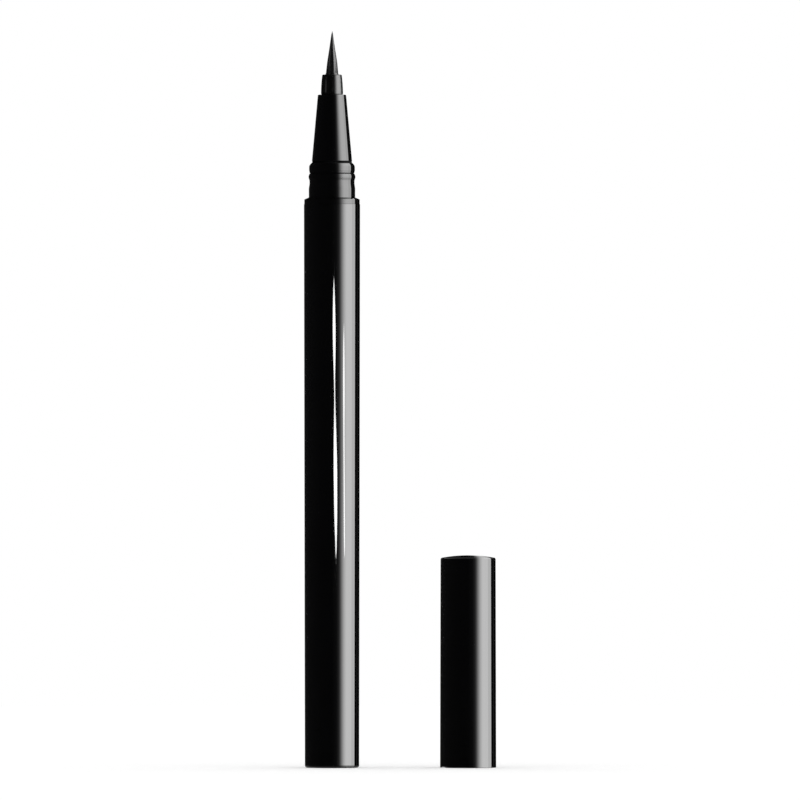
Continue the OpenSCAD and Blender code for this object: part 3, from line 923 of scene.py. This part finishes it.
def floor():
    """A pale matt sheet. It glows just enough to meet the white behind it and keeps the shadow.
    Glossy rays see it close to the pen only, so that the studio's reflections run down to the
    tail."""
    material, tree, shader = new_material("pale_floor")
    shader.inputs["Roughness"].default_value = 1.0
    shader.inputs["Specular IOR Level"].default_value = 0.0
    shader.inputs["Emission Color"].default_value = (1.0, 1.0, 1.0, 1.0)
    colours = [(level, level, level) for level in (FLOOR_COLOUR - FLOOR_SHADE, FLOOR_COLOUR)]
    tree.links.new(tint(tree, noise_of(tree, FLOOR_GRAIN), *colours), shader.inputs["Base Color"])
    rays = tree.nodes.new("ShaderNodeLightPath")
    glow = times(tree, rays.outputs["Is Camera Ray"], FLOOR_GLOW)
    tree.links.new(glow, shader.inputs["Emission Strength"])
    length = tree.nodes.new("ShaderNodeVectorMath")
    length.operation = "LENGTH"
    place = tree.nodes.new("ShaderNodeNewGeometry").outputs["Position"]
    tree.links.new(place, length.inputs[0])
    near = map_of(tree, length.outputs["Value"], *FLOOR_NEAR, FLOOR_SHARE, 0.0)
    short = map_of(tree, rays.outputs["Ray Length"], *FLOOR_SHORT, 1.0, 0.0)
    unseen = math_of(tree, "SUBTRACT", 1.0, times(tree, near, short))
    mix = tree.nodes.new("ShaderNodeMixShader")
    tree.links.new(times(tree, unseen, rays.outputs["Is Glossy Ray"]), mix.inputs["Fac"])
    tree.links.new(shader.outputs[0], mix.inputs[1])
    tree.links.new(tree.nodes.new("ShaderNodeBsdfTransparent").outputs[0], mix.inputs[2])
    tree.links.new(mix.outputs[0], tree.nodes["Material Output"].inputs["Surface"])
    verts = [(0.0, 0.0, 0.0)]
    verts += [around(360 * k / FLOOR_STEPS, FLOOR_R, 0.0) for k in range(FLOOR_STEPS)]
    faces = [(0, 1 + k, 1 + (k + 1) % FLOOR_STEPS) for k in range(FLOOR_STEPS)]
    obj = mesh_object("floor", verts, faces, material)
    obj.location = (CAP_X * MM / 2, 0.0, -FLOOR_DROP)


def ladder(rungs):
    """The points and faces of a strip across pairs of points."""
    verts = [point for rung in rungs for point in rung]
    return verts, [(2 * i, 2 * i + 1, 2 * i + 3, 2 * i + 2) for i in range(len(rungs) - 1)]


def lamp(name, rungs, targets, strength, reach, fades=()):
    """A clear panel that adds light to what the gloss of the target pieces sees behind it. Its
    light is full up to the first length of its reach and ends at the second, in metres. Each of
    its fades is two heights in metres: it is dark at the first and full at the second."""
    material, tree, shader = new_material(name)
    tree.nodes.remove(shader)
    glow = tree.nodes.new("ShaderNodeEmission")
    length = tree.nodes.new("ShaderNodeLightPath").outputs["Ray Length"]
    level = map_of(tree, length, *reach, strength, 0.0)
    for dark, full in fades:
        split = tree.nodes.new("ShaderNodeSeparateXYZ")
        place = tree.nodes.new("ShaderNodeNewGeometry").outputs["Position"]
        tree.links.new(place, split.inputs[0])
        level = times(tree, level, map_of(tree, split.outputs["Z"], full, dark, 1.0, 0.0))
    tree.links.new(level, glow.inputs["Strength"])
    both = tree.nodes.new("ShaderNodeAddShader")
    tree.links.new(glow.outputs[0], both.inputs[0])
    tree.links.new(tree.nodes.new("ShaderNodeBsdfTransparent").outputs[0], both.inputs[1])
    tree.links.new(both.outputs[0], tree.nodes["Material Output"].inputs["Surface"])
    material.cycles.emission_sampling = "NONE"
    obj = mesh_object(name, *ladder(rungs), material)
    seen = bpy.data.collections.new(name + "_target")
    bpy.context.scene.collection.children.link(seen)
    for target in targets:
        seen.objects.link(bpy.data.objects[target])
    obj.light_linking.receiver_collection = seen
    obj.visible_camera = False
    obj.visible_diffuse = False
    obj.visible_shadow = False
    obj.visible_transmission = False


# Slender lamps, each for its own piece: the piece, the strength, the reach, and the azimuth and
# half-width in degrees at heights in millimetres. The barrel's reach ends where the side of the
# barrel that faces its lamps does.
STRIP_R = 120.0
STRIP_STEPS = 80
BARREL_REACH = (0.1162, 0.1172)
TIP_REACH = (0.2, 0.3)
STRIPS = {
    "strip_lamp_main": ("pen_barrel", 27.0, BARREL_REACH, (
        (36.3, 16.5, 0.0), (37.4, 16.6, 1.9), (38.6, 16.7, 2.3), (40.5, 16.4, 3.6),
        (44.0, 15.7, 5.6), (51.0, 14.4, 6.9), (55.0, 13.7, 6.6), (58.5, 12.8, 5.2),
        (62.5, 12.0, 2.9), (66.5, 11.3, 1.5), (70.0, 10.4, 2.1), (75.0, 9.6, 4.7),
        (79.0, 9.0, 5.6), (83.5, 8.3, 4.0), (86.5, 8.0, 2.2), (88.6, 7.8, 0.0))),
    "strip_lamp_side": ("pen_barrel", 17.5, BARREL_REACH, (
        (36.3, 53.5, 0.0), (38.0, 53.3, 1.8), (42.0, 52.6, 2.3), (50.0, 51.5, 2.3),
        (56.0, 50.6, 2.3), (60.0, 50.1, 2.4), (66.0, 49.9, 3.3), (70.0, 49.6, 3.4),
        (76.0, 49.4, 2.6), (80.5, 49.8, 0.0))),
    "strip_lamp_left": ("pen_ferrule", 1.15, TIP_REACH, (
        (122.0, -69.0, 0.0), (125.0, -69.0, 5.0), (140.0, -69.0, 6.0), (147.0, -69.0, 0.0))),
    "strip_lamp_brush": ("brush_tuft", 1.8, TIP_REACH, (
        (120.0, -52.0, 0.0), (130.0, -52.0, 8.0), (190.0, -52.0, 8.0), (200.0, -52.0, 0.0))),
}


def between(stops, height):
    """The values of stops, which are (height, ...), at a height between them."""
    for low, high in zip(stops, stops[1:]):
        if height <= high[0]:
            t = (height - low[0]) / (high[0] - low[0])
            return [a + (b - a) * t for a, b in zip(low[1:], high[1:])]
    return stops[-1][1:]


def strip_lamps():
    for name, (target, strength, reach, stops) in STRIPS.items():
        rungs = []
        for i in range(STRIP_STEPS + 1):
            height = stops[0][0] + (stops[-1][0] - stops[0][0]) * i / STRIP_STEPS
            centre, half = between(stops, height)
            rungs.append([around(centre + side, STRIP_R, height) for side in (-half, half)])
        lamp(name, rungs, [target], strength, reach)


# Lights that only a camera that looks down on the pieces sees in them. Upright walls show it the
# pale table and the panels at the back left, and the cap's crown shows it the one high behind. A
# panel has its pieces, its strength, its distance in metres, its azimuths and the steps between
# them, its elevations, and fades as pairs of a dark and a full elevation.
TABLE_HALF = 14.0
TABLE_DROP = 0.6
TABLE_LEVEL = 0.3
TABLE_REACH = (3.5, 11.0)
TABLE_SEEN_BY = ["pen_barrel", "pen_tail_plug", "cap_outer"]
WALLS = ["pen_barrel", "cap_outer"]
PANEL_REACH = (8.0, 9.0)
PANELS = {
    "back_panel": (WALLS, 7.0, 3.0, (-138.0, -113.0), 1, (-31.0, -1.8), ((-1.8, -6.5),)),
    "back_panel_wings": (WALLS, 2.5, 3.2, (-150.0, -110.0), 1, (-31.0, -1.8), ((-1.8, -6.5),)),
    "sky_panel": (["cap_outer"], 0.8, 3.0, (138.0, 222.0), 8, (24.0, 56.0),
                  ((24.0, 32.0), (56.0, 44.0))),
}


def table_light():
    half = TABLE_HALF / MM
    rungs = [[(x, y, -TABLE_DROP / MM) for x in (-half, half)] for y in (-half, half)]
    lamp("table_light", rungs, TABLE_SEEN_BY, TABLE_LEVEL, TABLE_REACH)


def panel_lamps():
    for name, (targets, strength, distance, azimuths, steps, elevations, fades) in PANELS.items():
        first, last = azimuths
        radius = distance / MM
        rungs = []
        for i in range(steps + 1):
            azimuth = first + (last - first) * i / steps
            rungs.append([around(azimuth, radius, rise(radius, e)) for e in elevations])
        faded = [[rise(distance, e) for e in fade] for fade in fades]
        lamp(name, rungs, targets, strength, PANEL_REACH, faded)


# The camera: the photograph is 800 pixels wide and shows 144 mm at the pen
VIEW_WIDTH = 0.144
VIEW_CENTRE = (0.01224, 0.06615)
LENS = 750.0
SENSOR = 36.0
CLIP_END = 20.0


def camera():
    data = bpy.data.cameras.new("camera")
    data.sensor_width = SENSOR
    data.lens = LENS
    data.clip_end = CLIP_END
    obj = bpy.data.objects.new("camera", data)
    bpy.context.scene.collection.objects.link(obj)
    obj.location = (VIEW_CENTRE[0], -VIEW_WIDTH * LENS / SENSOR, VIEW_CENTRE[1])
    obj.rotation_euler = (math.radians(90), 0.0, 0.0)
    bpy.context.scene.camera = obj


camera()
studio_world()
floor()
barrel()
tail_plug()
nose()
ferrule()
brush()
cap()
inner_cap()
dress_inner_nodes()
strip_lamps()
table_light()
panel_lamps()
bpy.context.scene.view_settings.view_transform = "Standard"
